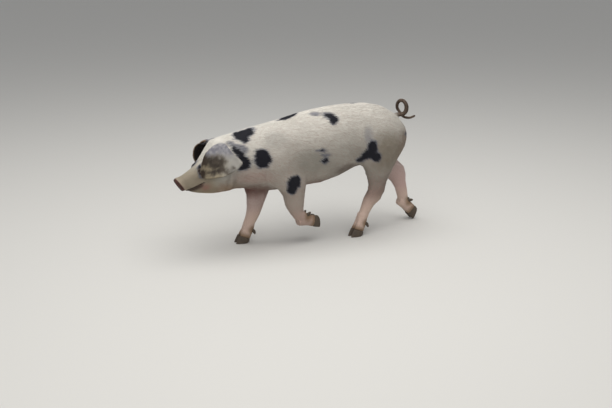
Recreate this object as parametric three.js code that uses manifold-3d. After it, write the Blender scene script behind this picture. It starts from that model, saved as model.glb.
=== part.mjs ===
// A young lop-eared spotted pig at a walk, life size, as a still museum model.
// Millimetres, +Z up. The pig faces -Y and its left side is +X. It stands on the right fore
// foot, the left hind foot and the toe of the right hind foot; the left fore foot is lifted.
//
// Every piece of flesh is a loft. A ring of a loft is given by two points of the side outline,
// [y, z] each (top and bottom on the body, front and rear on a leg), and by its half width.
import * as THREE from "three";
import { LoftGeometry } from "three/addons/geometries/LoftGeometry.js";
import { mergeVertices } from "three/addons/utils/BufferGeometryUtils.js";
import Module from "manifold-3d";

const wasm = await Module();
wasm.setup();

// ---- driving dimensions ------------------------------------------------------------------
const GAP = 0.3; // between pieces that touch
const GROUND_CUT = 60; // depth of the block that trims the hooves level
const REACH = 1500; // half size of the blocks that stand for half spaces

const TRUNK_HALF_WIDTH = 128; // at the barrel
const NECK_HALF_WIDTH = 92;
const CHEEK_HALF_WIDTH = 74;
const SNOUT_HALF_WIDTH = 29;
const FORE_TRACK = 62; // feet, from the midline
const HIND_TRACK = 64;
const EYE_RADIUS = 11.5;
const HOOF_HALF_WIDTH = 12.2; // of one claw
const CLEFT = 1.6; // half the gap between the two claws of a foot
const FETLOCK_HEIGHT = 78; // of the fetlock's centre over the sole

// ---- lofts -------------------------------------------------------------------------------
const FIELDS = ["ay", "az", "by", "bz", "x", "half", "mid", "pa", "pb"];

// One ring: outline points a and b, half width, and optionally the middle's x, how far from
// a to b the ring is widest (mid), and how square its a and b halves are (2 is an ellipse).
function ring(a, b, half, { x = 0, mid = 0.5, pa = 2, pb = 2 } = {}) {
  return { ay: a[0], az: a[1], by: b[0], bz: b[1], x, half, mid, pa, pb };
}

// The ring's closed row of points.
function section(r, count) {
  const swell = (value, power) => Math.sign(value) * Math.abs(value) ** (2 / power);
  return Array.from({ length: count }, (_, i) => {
    const angle = (2 * Math.PI * i) / count;
    const power = Math.sin(angle) >= 0 ? r.pa : r.pb;
    const share = swell(Math.sin(angle), power);
    const down = share >= 0 ? r.mid * (1 - share) : r.mid - (1 - r.mid) * share;
    return new THREE.Vector3(
      r.x + r.half * swell(Math.cos(angle), power),
      r.ay + (r.by - r.ay) * down,
      r.az + (r.bz - r.az) * down,
    );
  });
}

// Skins rows of points, each end drawn to the middle of its row.
function skinned(rows) {
  const toMiddle = (row) => {
    const middle = new THREE.Vector3();
    for (const point of row) middle.addScaledVector(point, 1 / row.length);
    return row.map(() => middle);
  };
  return new LoftGeometry([toMiddle(rows[0]), ...rows, toMiddle(rows.at(-1))]);
}

// A closed loft through the rings, with `between` steps from one to the next. `grow` makes
// the loft fatter all round, for cutting a clearance.
function loft(rings, { around = 24, between = 2, grow = 0 } = {}) {
  const values = rings.flatMap((r) => FIELDS.map((name) => r[name]));
  const knots = rings.map((_, i) => i);
  const curve = new THREE.CubicInterpolant(knots, values, FIELDS.length);
  const rows = [];
  for (let i = 0; i <= (rings.length - 1) * between; i++) {
    const got = [...curve.evaluate(i / between)];
    const r = Object.fromEntries(FIELDS.map((name, k) => [name, got[k]]));
    const tall = Math.hypot(r.by - r.ay, r.bz - r.az);
    const push = grow / tall;
    const [dy, dz] = [(r.by - r.ay) * push, (r.bz - r.az) * push];
    Object.assign(r, { ay: r.ay - dy, az: r.az - dz, by: r.by + dy, bz: r.bz + dz });
    r.half += grow;
    rows.push(section(r, around));
  }
  return skinned(rows);
}

// ---- solids ------------------------------------------------------------------------------
function solid(geometry) {
  const bare = new THREE.BufferGeometry();
  bare.setAttribute("position", geometry.getAttribute("position"));
  bare.setIndex(geometry.index);
  const merged = mergeVertices(bare, 1e-3);
  const corners = merged.index.array;
  const triangles = [];
  for (let i = 0; i < corners.length; i += 3) {
    const [a, b, c] = corners.slice(i, i + 3);
    if (a !== b && b !== c && c !== a) triangles.push(a, b, c);
  }
  const build = (triVerts) =>
    new wasm.Manifold(
      new wasm.Mesh({
        numProp: 3,
        vertProperties: new Float32Array(merged.attributes.position.array),
        triVerts: new Uint32Array(triVerts),
      }),
    );
  const made = build(triangles);
  return made.volume() > 0 ? made : build(triangles.reverse());
}

function geometryOf(made) {
  const mesh = made.getMesh();
  const geometry = new THREE.BufferGeometry();
  geometry.setAttribute("position", new THREE.BufferAttribute(mesh.vertProperties, 3));
  geometry.setIndex(new THREE.BufferAttribute(mesh.triVerts, 1));
  geometry.computeVertexNormals();
  return geometry;
}

const largest = (made) =>
  made.decompose().reduce((a, b) => (a.volume() > b.volume() ? a : b));

const join = (solids) => solids.reduce((a, b) => a.add(b));

// The half space behind a plane: through [y, z], its normal turned `tilt` degrees up from -Y,
// and moved `back` along it.
function behind([y, z], tilt, back = 0) {
  const angle = THREE.MathUtils.degToRad(tilt);
  const normal = new THREE.Vector3(0, -Math.cos(angle), Math.sin(angle));
  const box = new THREE.BoxGeometry(2 * REACH, 2 * REACH, 2 * REACH);
  box.rotateX(-angle);
  box.translate(0, y, z);
  box.translate(...normal.multiplyScalar(-REACH - back).toArray());
  return solid(box);
}

// Parts a solid at each plane in turn, from the front: [point, tilt] gives the first piece
// in front of it, and the last piece is what is left.
function parted(whole, planes) {
  const pieces = [];
  let rest = whole;
  for (const [point, tilt] of planes) {
    pieces.push(largest(rest.subtract(behind(point, tilt, -GAP / 2))));
    rest = rest.intersect(behind(point, tilt, GAP / 2));
  }
  return [...pieces, largest(rest)];
}

const ground = (() => {
  const block = new THREE.BoxGeometry(2 * REACH, 2 * REACH, GROUND_CUT);
  block.translate(0, 0, -GROUND_CUT / 2);
  return solid(block);
})();

// ---- body: rump to snout in one loft -------------------------------------------------------
const barrel = { mid: 0.52, pa: 2.2, pb: 2.2 };
const flatBrow = { mid: 0.4, pa: 2.9, pb: 2.3 };
const bodyRings = [
  ring([384, 456], [380, 422], 24),
  ring([378, 484], [364, 392], 60),
  ring([358, 514], [346, 358], 90),
  ring([320, 550], [325, 328], 110, barrel),
  ring([262, 584], [284, 320], 121, barrel),
  ring([188, 601], [205, 334], 122, barrel),
  ring([105, 605], [110, 314], TRUNK_HALF_WIDTH - 3, barrel),
  ring([20, 602], [25, 279], TRUNK_HALF_WIDTH + 3, barrel),
  ring([-65, 594], [-65, 258], TRUNK_HALF_WIDTH + 4, barrel),
  ring([-145, 582], [-145, 255], TRUNK_HALF_WIDTH - 1, barrel),
  ring([-230, 563], [-225, 251], TRUNK_HALF_WIDTH - 8, barrel),
  ring([-310, 551], [-300, 247], TRUNK_HALF_WIDTH - 17, { mid: 0.5 }),
  ring([-385, 539], [-362, 256], NECK_HALF_WIDTH + 5, { mid: 0.52 }),
  ring([-452, 525], [-425, 273], NECK_HALF_WIDTH - 4, { mid: 0.55 }),
  ring([-512, 513], [-480, 274], NECK_HALF_WIDTH - 10, { mid: 0.54, pa: 2.4 }),
  ring([-559, 492], [-528, 270], CHEEK_HALF_WIDTH + 4, { mid: 0.52, pa: 2.6 }),
  ring([-587, 450], [-560, 269], CHEEK_HALF_WIDTH - 4, { mid: 0.46, pa: 2.8 }),
  ring([-608, 414], [-596, 272], CHEEK_HALF_WIDTH - 14, flatBrow),
  ring([-642, 383], [-630, 277], SNOUT_HALF_WIDTH + 16, flatBrow),
  ring([-678, 366], [-658, 284], SNOUT_HALF_WIDTH + 6, { mid: 0.46, pa: 2.6 }),
  ring([-702, 355], [-676, 291], SNOUT_HALF_WIDTH, { mid: 0.48, pa: 2.4 }),
  ring([-718, 352], [-685, 294], SNOUT_HALF_WIDTH + 2.5, { mid: 0.48, pa: 2.3 }),
  ring([-726, 345], [-691, 293], SNOUT_HALF_WIDTH + 2.5, { mid: 0.48, pa: 2.2 }),
  ring([-728, 340], [-696, 292], SNOUT_HALF_WIDTH - 2, { mid: 0.48 }),
];
const bodyDetail = { around: 30, between: 1 };
const bodyClearance = solid(loft(bodyRings, { ...bodyDetail, grow: GAP + 0.15 }));

// A soft swelling of the flesh: an ellipsoid at a centre, its long axis tipped in side view.
function mound(centre, radii, tip = 0) {
  const ball = new THREE.SphereGeometry(1, 12, 8);
  ball.scale(...radii);
  ball.rotateX(THREE.MathUtils.degToRad(tip));
  ball.translate(...centre);
  return solid(ball);
}

const EYE = [40, -622, 380];
const browMounds = [-1, 1].map((s) => mound([s * 36, -614, 381], [13, 20, 13], 35));
const body = join([solid(loft(bodyRings, bodyDetail)), ...browMounds]);

// ---- legs ---------------------------------------------------------------------------------
// A foot in its own frame: fetlock's centre at the origin, toes towards -Y, sole level.
const footSide = (y, z) => [y, z - FETLOCK_HEIGHT];

function digitRings(side) {
  return [
    ring(footSide(-19, 106), footSide(18, 106), 14, { x: side * 5 }),
    ring(footSide(-25, 88), footSide(25, 82), 17, { x: side * 6 }),
    ring(footSide(-33, 64), footSide(17, 54), 15, { x: side * 8.5 }),
    ring(footSide(-44, 43), footSide(4, 28), 13, { x: side * 12 }),
    ring(footSide(-47, 37), footSide(0, 16), 11, { x: side * 12.5 }),
  ];
}

function clawRings(side) {
  const x = side * (HOOF_HALF_WIDTH + CLEFT);
  const shape = { x, mid: 0.6, pa: 1.75, pb: 2.2 };
  return [
    ring(footSide(-46.6, 37.4), footSide(-2.2, 20), HOOF_HALF_WIDTH - 2.4, shape),
    ring(footSide(-50, 35), footSide(-1, 17), HOOF_HALF_WIDTH - 1, shape),
    ring(footSide(-58, 20), footSide(-3, 8), HOOF_HALF_WIDTH, shape),
    ring(footSide(-65.5, 3), footSide(-8, 1), HOOF_HALF_WIDTH - 0.2, shape),
    ring(footSide(-66, -1), footSide(-10, -1), HOOF_HALF_WIDTH - 1.4, shape),
  ];
}

// A dewclaw hangs behind the pastern, off to one side.
function dewclawRings(side) {
  return [
    ring(footSide(6, 60), footSide(19, 63), 7, { x: side * 12 }),
    ring(footSide(10, 50), footSide(26, 55), 7, { x: side * 14 }),
    ring(footSide(16, 41), footSide(28, 45), 5, { x: side * 16 }),
    ring(footSide(22, 36), footSide(26, 38), 2, { x: side * 17 }),
  ];
}

// Places foot geometry: the toes swing back by `flex` degrees, point out by `turn`, and the
// fetlock comes to [x, y, z].
function placed(geometry, { fetlock, flex = 0, turn = 0 }) {
  geometry.rotateX(THREE.MathUtils.degToRad(flex));
  geometry.rotateZ(THREE.MathUtils.degToRad(turn));
  geometry.translate(...fetlock);
  return geometry;
}

const legDetail = { around: 18, between: 1 };
const digitDetail = { around: 10, between: 1 };
const clawDetail = { around: 12, between: 1 };
const dewclawDetail = { around: 8, between: 1 };

// The flesh of a whole leg, and the claws it carries.
function leg(rings, foot) {
  const sides = [-1, 1];
  const digits = sides.map((s) =>
    solid(placed(loft(digitRings(s), digitDetail), foot)),
  );
  const claws = sides.map((s) =>
    solid(placed(loft(clawRings(s), clawDetail), foot)).subtract(ground),
  );
  const dewclaws = sides.map((s) =>
    solid(placed(loft(dewclawRings(s), dewclawDetail), foot)),
  );
  const flesh = join([solid(loft(rings, legDetail)), ...digits]).subtract(ground);
  return { flesh, claws, dewclaws };
}

// Front and rear outline points of each leg from the top, with the ring's x and half width.
const legs = {
  foreleg_left: {
    rings: [
      ring([-300, 478], [-242, 484], 10, { x: 80 }),
      ring([-342, 430], [-198, 446], 34, { x: 86 }),
      ring([-354, 370], [-165, 392], 46, { x: 86 }),
      ring([-328, 305], [-148, 332], 47, { x: 86 }),
      ring([-284, 266], [-151, 284], 42, { x: 87 }),
      ring([-259, 228], [-159, 238], 34, { x: 87 }),
      ring([-253, 195], [-163, 202], 28.5, { x: 87 }),
      ring([-236, 163], [-166, 173], 26.5, { x: 86 }),
      ring([-215, 136], [-168, 162], 25, { x: 84 }),
      ring([-196, 114], [-152, 149], 22.5, { x: 81 }),
      ring([-180, 100], [-142, 139], 20.5, { x: 78 }),
    ],
    foot: { fetlock: [76, -166, 117], flex: 101, turn: 14 },
    cuts: [[[-215, 238], 84], [[-195, 145], 48]],
  },
  foreleg_right: {
    rings: [
      ring([-330, 478], [-272, 484], 10, { x: -80 }),
      ring([-374, 428], [-230, 444], 33, { x: -84 }),
      ring([-396, 365], [-206, 385], 44, { x: -84 }),
      ring([-398, 300], [-212, 320], 44, { x: -79 }),
      ring([-386, 250], [-248, 262], 38, { x: -72 }),
      ring([-372, 206], [-275, 210], 30, { x: -67 }),
      ring([-373, 164], [-296, 162], 26, { x: -64 }),
      ring([-378, 134], [-314, 128], 24.5, { x: -FORE_TRACK }),
      ring([-386, 106], [-331, 98], 22, { x: -FORE_TRACK }),
      ring([-394, 86], [-344, 80], 20, { x: -FORE_TRACK }),
    ],
    foot: { fetlock: [-FORE_TRACK, -367, FETLOCK_HEIGHT], flex: 0, turn: -4 },
    cuts: [[[-330, 226], 80], [[-345, 140], 74]],
  },
  hindleg_left: {
    rings: [
      ring([170, 528], [270, 540], 12, { x: 80 }),
      ring([128, 470], [318, 490], 38, { x: 88 }),
      ring([104, 410], [340, 432], 52, { x: 86 }),
      ring([112, 362], [328, 384], 54, { x: 84 }),
      ring([138, 316], [300, 334], 48, { x: 81 }),
      ring([158, 276], [276, 290], 40, { x: 78 }),
      ring([170, 238], [258, 244], 32, { x: 75 }),
      ring([164, 204], [250, 200], 27, { x: 72 }),
      ring([147, 176], [230, 164], 25, { x: 69 }),
      ring([140, 150], [196, 136], 22, { x: 66 }),
      ring([130, 114], [176, 104], 19.5, { x: HIND_TRACK }),
      ring([116, 88], [167, 80], 20, { x: HIND_TRACK }),
    ],
    foot: { fetlock: [HIND_TRACK, 141, FETLOCK_HEIGHT], flex: 0, turn: 4 },
    cuts: [[[215, 300], 88], [[190, 160], 70]],
  },
  hindleg_right: {
    rings: [
      ring([190, 528], [285, 540], 12, { x: -80 }),
      ring([150, 468], [334, 490], 38, { x: -88 }),
      ring([146, 404], [350, 432], 52, { x: -86 }),
      ring([180, 342], [356, 378], 51, { x: -84 }),
      ring([240, 290], [372, 332], 42, { x: -80 }),
      ring([298, 250], [400, 298], 35, { x: -76 }),
      ring([342, 220], [434, 264], 28, { x: -72 }),
      ring([368, 192], [442, 230], 25, { x: -68 }),
      ring([385, 164], [441, 186], 21, { x: -66 }),
      ring([396, 130], [448, 146], 19, { x: -HIND_TRACK }),
      ring([402, 108], [453, 116], 19, { x: -HIND_TRACK }),
      ring([409, 90], [457, 94], 19, { x: -HIND_TRACK }),
    ],
    foot: { fetlock: [-HIND_TRACK, 430, 88.2], flex: 70, turn: 0 },
    cuts: [[[330, 285], 66], [[400, 185], 78]],
  },
};

// ---- ears ---------------------------------------------------------------------------------
// A lop ear is a thin leaf. Its rows run from the root to the tip; each row is a front edge
// point, a rear edge point and how far its middle stands out between them.
const EAR_THICKNESS = 6.5;
const EAR_ROOT = new THREE.Vector3(50, -530, 490);
const earRows = [
  { front: [46, -566, 488], rear: [58, -514, 492], bulge: 6, thick: 1.6 },
  { front: [66, -590, 479], rear: [82, -512, 479], bulge: 11, thick: 1.3 },
  { front: [84, -617, 464], rear: [107, -495, 450], bulge: 18, thick: 1 },
  { front: [94, -635, 434], rear: [127, -466, 418], bulge: 17, thick: 0.9 },
  { front: [98, -643, 404], rear: [121, -501, 386], bulge: 13, thick: 0.85 },
  { front: [97, -643, 378], rear: [116, -552, 366], bulge: 7, thick: 0.8 },
  { front: [94, -637, 362], rear: [98, -618, 359], bulge: 1, thick: 0.5 },
];
const earDetail = { around: 16, between: 2 };
const FAR_EAR = { size: 0.86, curl: 24, swing: 13 };

// A row of the leaf: a thin bent lens between its two edge points.
function earSection(front, rear, bulge, thick) {
  const across = rear.clone().sub(front).normalize();
  const out = new THREE.Vector3(0, 0, 1).cross(across).normalize();
  out.add(new THREE.Vector3(0, 0, 0.45)).normalize();
  return Array.from({ length: earDetail.around }, (_, k) => {
    const angle = (2 * Math.PI * k) / earDetail.around;
    const along = 0.5 - 0.5 * Math.cos(angle);
    const middle = bulge * 4 * along * (1 - along);
    const skin = (EAR_THICKNESS / 2) * thick * Math.sin(angle);
    return front.clone().lerp(rear, along).addScaledVector(out, middle + skin);
  });
}

// `size` scales the ear about its root, `swing` lifts it off the cheek and `curl` swings its
// tip back, by so many degrees.
function ear(side, { size = 1, curl = 0, swing = 0 } = {}) {
  const rows = earRows.map((row) => [...row.front, ...row.rear, row.bulge, row.thick]);
  const curve = new THREE.CubicInterpolant(rows.map((_, i) => i), rows.flat(), 8);
  const steps = (rows.length - 1) * earDetail.between;
  const xAxis = new THREE.Vector3(1, 0, 0);
  const yAxis = new THREE.Vector3(0, 1, 0);
  const lifted = -THREE.MathUtils.degToRad(swing);
  const sections = [];
  for (let i = 0; i <= steps; i++) {
    const got = curve.evaluate(i / earDetail.between);
    const angle = THREE.MathUtils.degToRad((curl * i) / steps);
    const [front, rear] = [0, 3].map((k) =>
      new THREE.Vector3(got[k], got[k + 1], got[k + 2])
        .sub(EAR_ROOT)
        .multiplyScalar(size)
        .applyAxisAngle(yAxis, lifted)
        .applyAxisAngle(xAxis, angle)
        .add(EAR_ROOT),
    );
    sections.push(earSection(front, rear, got[6], got[7]));
  }
  const geometry = skinned(sections);
  if (side < 0) geometry.scale(-1, 1, 1);
  return solid(geometry);
}

// ---- tail ---------------------------------------------------------------------------------
// One curl, then the tip trails behind.
const TAIL_ROOT_RADIUS = 11;
const TAIL_TIP_RADIUS = 4.5;
const CURL_RADIUS = 30;
const TAIL_STEPS = 44;
const TAIL_AROUND = 8;
const tailCurve = new THREE.CatmullRomCurve3([
  new THREE.Vector3(0, 325, 528),
  new THREE.Vector3(0, 358, 532),
  ...Array.from({ length: 8 }, (_, i) => {
    const angle = THREE.MathUtils.degToRad(-70 + 45 * i);
    return new THREE.Vector3(
      6 + 22 * Math.cos(angle) - 4.5 * i,
      371 + 12 * Math.cos(angle) + 2.4 * i,
      564 + CURL_RADIUS * Math.sin(angle),
    );
  }),
  new THREE.Vector3(-24, 400, 513),
  new THREE.Vector3(-22, 432, 506),
  new THREE.Vector3(-20, 457, 514),
]);

function tail() {
  const across = new THREE.Vector3(1, 0, 0);
  const sections = [];
  for (let i = 0; i <= TAIL_STEPS; i++) {
    const t = i / TAIL_STEPS;
    const tangent = tailCurve.getTangent(t);
    const side = across.clone().addScaledVector(tangent, -across.dot(tangent)).normalize();
    const over = tangent.clone().cross(side);
    across.copy(side);
    const radius = THREE.MathUtils.lerp(TAIL_ROOT_RADIUS, TAIL_TIP_RADIUS, t);
    sections.push(
      Array.from({ length: TAIL_AROUND }, (_, k) => {
        const angle = (2 * Math.PI * k) / TAIL_AROUND;
        return tailCurve
          .getPoint(t)
          .addScaledVector(side, radius * Math.cos(angle))
          .addScaledVector(over, radius * Math.sin(angle));
      }),
    );
  }
  return solid(skinned(sections));
}

// ---- assembly -----------------------------------------------------------------------------
const eyeball = (side, clearance = 0) => {
  const ball = new THREE.SphereGeometry(EYE_RADIUS + clearance, 12, 8);
  ball.translate(side * EYE[0], EYE[1], EYE[2]);
  return solid(ball);
};

const finish = (color, roughness) =>
  new THREE.MeshStandardMaterial({ color, roughness, metalness: 0 });
const finishes = {
  hide: finish(0xd9d2c8, 0.75),
  snout: finish(0xb58f80, 0.5),
  horn: finish(0x4a3f36, 0.55),
  eye: finish(0x1a120d, 0.1),
};

const pig = new THREE.Group();

function place(name, made, material) {
  const mesh = new THREE.Mesh(geometryOf(largest(made)), material);
  mesh.name = name;
  pig.add(mesh);
}

const sockets = join([eyeball(1, GAP), eyeball(-1, GAP)]);
const [snout, ...fleshFromHeadBack] = parted(body.subtract(sockets), [
  [[-700, 330], -38],
  [[-500, 380], -12],
  [[-372, 400], -4],
]);
place("snout", snout, finishes.snout);
["head", "neck", "trunk"].forEach((name, i) =>
  place(name, fleshFromHeadBack[i], finishes.hide),
);
place("eye_left", eyeball(1), finishes.eye);
place("eye_right", eyeball(-1), finishes.eye);
place("ear_left", ear(1).subtract(bodyClearance), finishes.hide);
place("ear_right", ear(-1, FAR_EAR).subtract(bodyClearance), finishes.hide);
place("tail", tail().subtract(bodyClearance), finishes.hide);

for (const [name, { rings, foot, cuts }] of Object.entries(legs)) {
  const { flesh, claws, dewclaws } = leg(rings, foot);
  const free = flesh.subtract(bodyClearance).subtract(join([...claws, ...dewclaws]));
  const pieces = parted(free, cuts);
  ["upper", "lower", "foot"].forEach((part, i) =>
    place(`${name}_${part}`, pieces[i], finishes.hide),
  );
  ["right", "left"].forEach((where, i) => {
    place(`${name}_hoof_${where}`, claws[i], finishes.horn);
    place(`${name}_dewclaw_${where}`, dewclaws[i], finishes.horn);
  });
}

// The origin is on the floor under the middle of the whole.
const extent = new THREE.Box3().setFromObject(pig);
const middle = extent.getCenter(new THREE.Vector3());
pig.position.set(-middle.x, -middle.y, -extent.min.z);

export default pig;
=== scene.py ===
import math

import bmesh
import bpy
import numpy as np
from mathutils import Matrix, Vector
from mathutils.bvhtree import BVHTree


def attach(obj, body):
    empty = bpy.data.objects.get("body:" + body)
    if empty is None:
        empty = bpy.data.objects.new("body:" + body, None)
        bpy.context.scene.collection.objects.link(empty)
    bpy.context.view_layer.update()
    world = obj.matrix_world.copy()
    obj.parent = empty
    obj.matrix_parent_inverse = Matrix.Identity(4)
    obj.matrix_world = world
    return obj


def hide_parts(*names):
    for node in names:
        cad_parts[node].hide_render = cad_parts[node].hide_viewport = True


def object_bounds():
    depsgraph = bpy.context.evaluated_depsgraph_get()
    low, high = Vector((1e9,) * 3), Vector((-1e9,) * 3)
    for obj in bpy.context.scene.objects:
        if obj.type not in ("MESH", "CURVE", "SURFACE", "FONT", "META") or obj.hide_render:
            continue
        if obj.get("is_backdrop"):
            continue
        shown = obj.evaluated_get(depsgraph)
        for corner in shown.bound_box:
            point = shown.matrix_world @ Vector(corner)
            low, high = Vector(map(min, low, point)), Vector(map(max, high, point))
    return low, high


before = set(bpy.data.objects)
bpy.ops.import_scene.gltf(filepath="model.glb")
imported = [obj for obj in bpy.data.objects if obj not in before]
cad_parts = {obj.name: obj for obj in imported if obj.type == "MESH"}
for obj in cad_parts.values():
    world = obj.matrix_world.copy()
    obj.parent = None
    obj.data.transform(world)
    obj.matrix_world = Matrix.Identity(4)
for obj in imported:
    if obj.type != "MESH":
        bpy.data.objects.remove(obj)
cad_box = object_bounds()

# The skin: one thick pale hide from the snout to the coronets and the tip of the tail. Copies of all
# the flesh solids, with the eyeballs as a form for the lids, are closed into one surface. It is
# smoothed over the joins, sunk by the depth of the coat, and then worked into muscle and folds.
JOIN_SWELL, EAR_SWELL = 0.0005, 0.0018  # the ears are thinner than the voxels
SKIN_VOXEL = 0.0023
FRONT_KEPT = -0.39  # ahead of this y the skin keeps all its detail
THINNED_TO = 0.21
# the right ear stands off the head, and a flat swelling round the ear's opening joins it on
EAR_BUTT = Matrix.Translation((-0.061, -0.447, 0.48)) @ Matrix.Rotation(math.radians(-37), 4, "Y")
EAR_BUTT = EAR_BUTT @ Matrix.Diagonal((0.024, 0.029, 0.0075, 1.0))
flesh = [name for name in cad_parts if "hoof" not in name and "dewclaw" not in name]
skin_nodes = [name for name in flesh if not name.startswith("eye")]


def mesh_of(form, name):
    mesh = bpy.data.meshes.new(name)
    form.to_mesh(mesh)
    form.free()
    return mesh


def closed_copy(names, swell):
    """A mesh of the named nodes' copies, each merged and swollen so that neighbours overlap."""
    form = bmesh.new()
    for name in names:
        first = len(form.verts)
        form.from_mesh(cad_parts[name].data)
        form.verts.ensure_lookup_table()
        bmesh.ops.remove_doubles(form, verts=form.verts[first:], dist=1e-6)
        form.normal_update()
        form.verts.ensure_lookup_table()
        for vertex in form.verts[first:]:
            vertex.co += vertex.normal * (EAR_SWELL if name.startswith("ear") else swell)
    if "ear_right" in names:
        bmesh.ops.create_uvsphere(form, u_segments=24, v_segments=16, radius=1, matrix=EAR_BUTT)
    return mesh_of(form, "form")


def piece(name, mesh):
    obj = bpy.data.objects.new(name, mesh)
    bpy.context.scene.collection.objects.link(obj)
    return obj


def apply_all(obj):
    graph = bpy.context.evaluated_depsgraph_get()
    obj.data, old = bpy.data.meshes.new_from_object(obj.evaluated_get(graph)), obj.data
    obj.modifiers.clear()
    bpy.data.meshes.remove(old)


def remesh(obj, voxel):
    skinning = obj.modifiers.new("skinning", "REMESH")
    skinning.mode = "VOXEL"
    skinning.voxel_size = voxel
    apply_all(obj)


def gather(items, what, columns, kind=np.float32):
    flat = np.empty(len(items) * columns, kind)
    items.foreach_get(what, flat)
    return flat.reshape(-1, columns)


def places(mesh):
    return gather(mesh.vertices, "co", 3).astype(np.float64)


def normals(mesh):
    return gather(mesh.vertex_normals, "vector", 3).astype(np.float64)


def set_places(mesh, at):
    mesh.vertices.foreach_set("co", at.astype(np.float32).ravel())
    mesh.update()


def smooth(mesh):
    mesh.polygons.foreach_set("use_smooth", np.ones(len(mesh.polygons), bool))


def edge_ends(mesh):
    return gather(mesh.edges, "vertices", 2, np.int32)


def neighbour_mean(values, ends):
    """The mean of each vertex's neighbours, for every column of values."""
    size = len(values)
    count = np.bincount(ends.ravel(), minlength=size).astype(float)
    count[count == 0] = 1
    columns = [
        np.bincount(ends[:, 0], values[ends[:, 1], k], size)
        + np.bincount(ends[:, 1], values[ends[:, 0], k], size)
        for k in range(values.shape[1])
    ]
    return np.stack(columns, 1) / count[:, None]


def relax(values, ends, weight, rounds):
    for _ in range(rounds):
        values = values + weight * (neighbour_mean(values, ends) - values)
    return values


SHRINK, REGROW = 0.5, 0.53


def fair(at, ends, rounds):
    """Takes out the voxel steps: each round shrinks the form and lets it grow back."""
    for _ in range(rounds):
        at = at + SHRINK * (neighbour_mean(at, ends) - at)
        at = at - REGROW * (neighbour_mean(at, ends) - at)
    return at


def ramp(low, high, value):
    """0 up to low and 1 from high on, with a soft start and end. Low may be the greater."""
    t = np.clip((value - low) / (high - low), 0, 1)
    return t * t * (3 - 2 * t)


def keep_largest(obj):
    """Drops the specks and inner hollows that closing the solids leaves beside the skin."""
    ends = edge_ends(obj.data)
    island = np.arange(len(obj.data.vertices))
    while True:
        low = np.minimum(island[ends[:, 0]], island[ends[:, 1]])
        lower = island.copy()
        np.minimum.at(lower, ends[:, 0], low)
        np.minimum.at(lower, ends[:, 1], low)
        lower = lower[lower]
        if np.array_equal(lower, island):
            break
        island = lower
    stray = island != np.bincount(island).argmax()
    if stray.any():
        form = bmesh.new()
        form.from_mesh(obj.data)
        form.verts.ensure_lookup_table()
        bmesh.ops.delete(form, geom=[form.verts[i] for i in np.where(stray)[0]], context="VERTS")
        form.to_mesh(obj.data)
        form.free()


skin = piece("skin", closed_copy(flesh, JOIN_SWELL))
remesh(skin, SKIN_VOXEL)
keep_largest(skin)

REGIONS = ("trunk", "neck", "head", "snout", "ear", "tail", "upper", "lower", "foot")
HEAD, SNOUT, EAR, TAIL, UPPER, LOWER, FOOT = range(2, len(REGIONS))


def region_of(name):
    if name.startswith("eye"):
        return HEAD
    return next(i for i, region in enumerate(REGIONS) if region in name)


node_points, node_faces, face_node = [], [], []
for index, name in enumerate(flesh):
    node_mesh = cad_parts[name].data
    start = len(node_points)
    node_points += [tuple(v.co) for v in node_mesh.vertices]
    node_faces += [tuple(start + i for i in p.vertices) for p in node_mesh.polygons]
    face_node += [index] * len(node_mesh.polygons)
node_tree = BVHTree.FromPolygons(node_points, node_faces)
face_node = np.array(face_node)
node_region = np.array([region_of(name) for name in flesh])


def nearest_nodes(at):
    return face_node[[node_tree.find_nearest(tuple(p))[2] for p in at]]


# how much of the smoothing each region takes, and how far the skin lies under the outline
SMOOTHED = dict(
    trunk=1, neck=1, head=0.22, snout=0.02, ear=0.04, tail=0.01, upper=1, lower=0.3, foot=0.03,
)
COAT_DEPTH = dict(
    trunk=0.0026, neck=0.0026, head=0.0014, snout=0.0, ear=0.0014, tail=0.0012,
    upper=0.0020, lower=0.0010, foot=0.0005,
)
SKIN_FAIRING, SKIN_SMOOTHING = 8, 90  # rounds


def per_region(table):
    return np.array([table[region] for region in REGIONS])


def tree_of(mesh):
    faces = [tuple(face.vertices) for face in mesh.polygons]
    return BVHTree.FromPolygons([vertex.co for vertex in mesh.vertices], faces)


at = places(skin.data)
ends = edge_ends(skin.data)
at = fair(at, ends, SKIN_FAIRING)
nodes_at = nearest_nodes(at)
share = np.eye(len(REGIONS))[node_region[nodes_at]]
share = relax(share, ends, 0.7, 20)
at = relax(at, ends, (share @ per_region(SMOOTHED))[:, None] * 0.7, SKIN_SMOOTHING)
set_places(skin.data, at)
depth = share @ per_region(COAT_DEPTH) + JOIN_SWELL
# where the skin is thin, as at the edges of the ears, it is sunk only a third of the way through
out = normals(skin.data)
RAY_START, RAY_REACH = 1e-4, 0.02
smoothed_tree = tree_of(skin.data)
for i in np.where(share[:, EAR] > 0.02)[0]:
    through = smoothed_tree.ray_cast(Vector(at[i] - out[i] * RAY_START), Vector(-out[i]), RAY_REACH)[3]
    if through is not None:
        depth[i] = min(depth[i], through / 3)
at = at - relax(out * depth[:, None], ends, 0.6 * np.clip(2 * share[:, [EAR]], 0, 1), 6)

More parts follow.
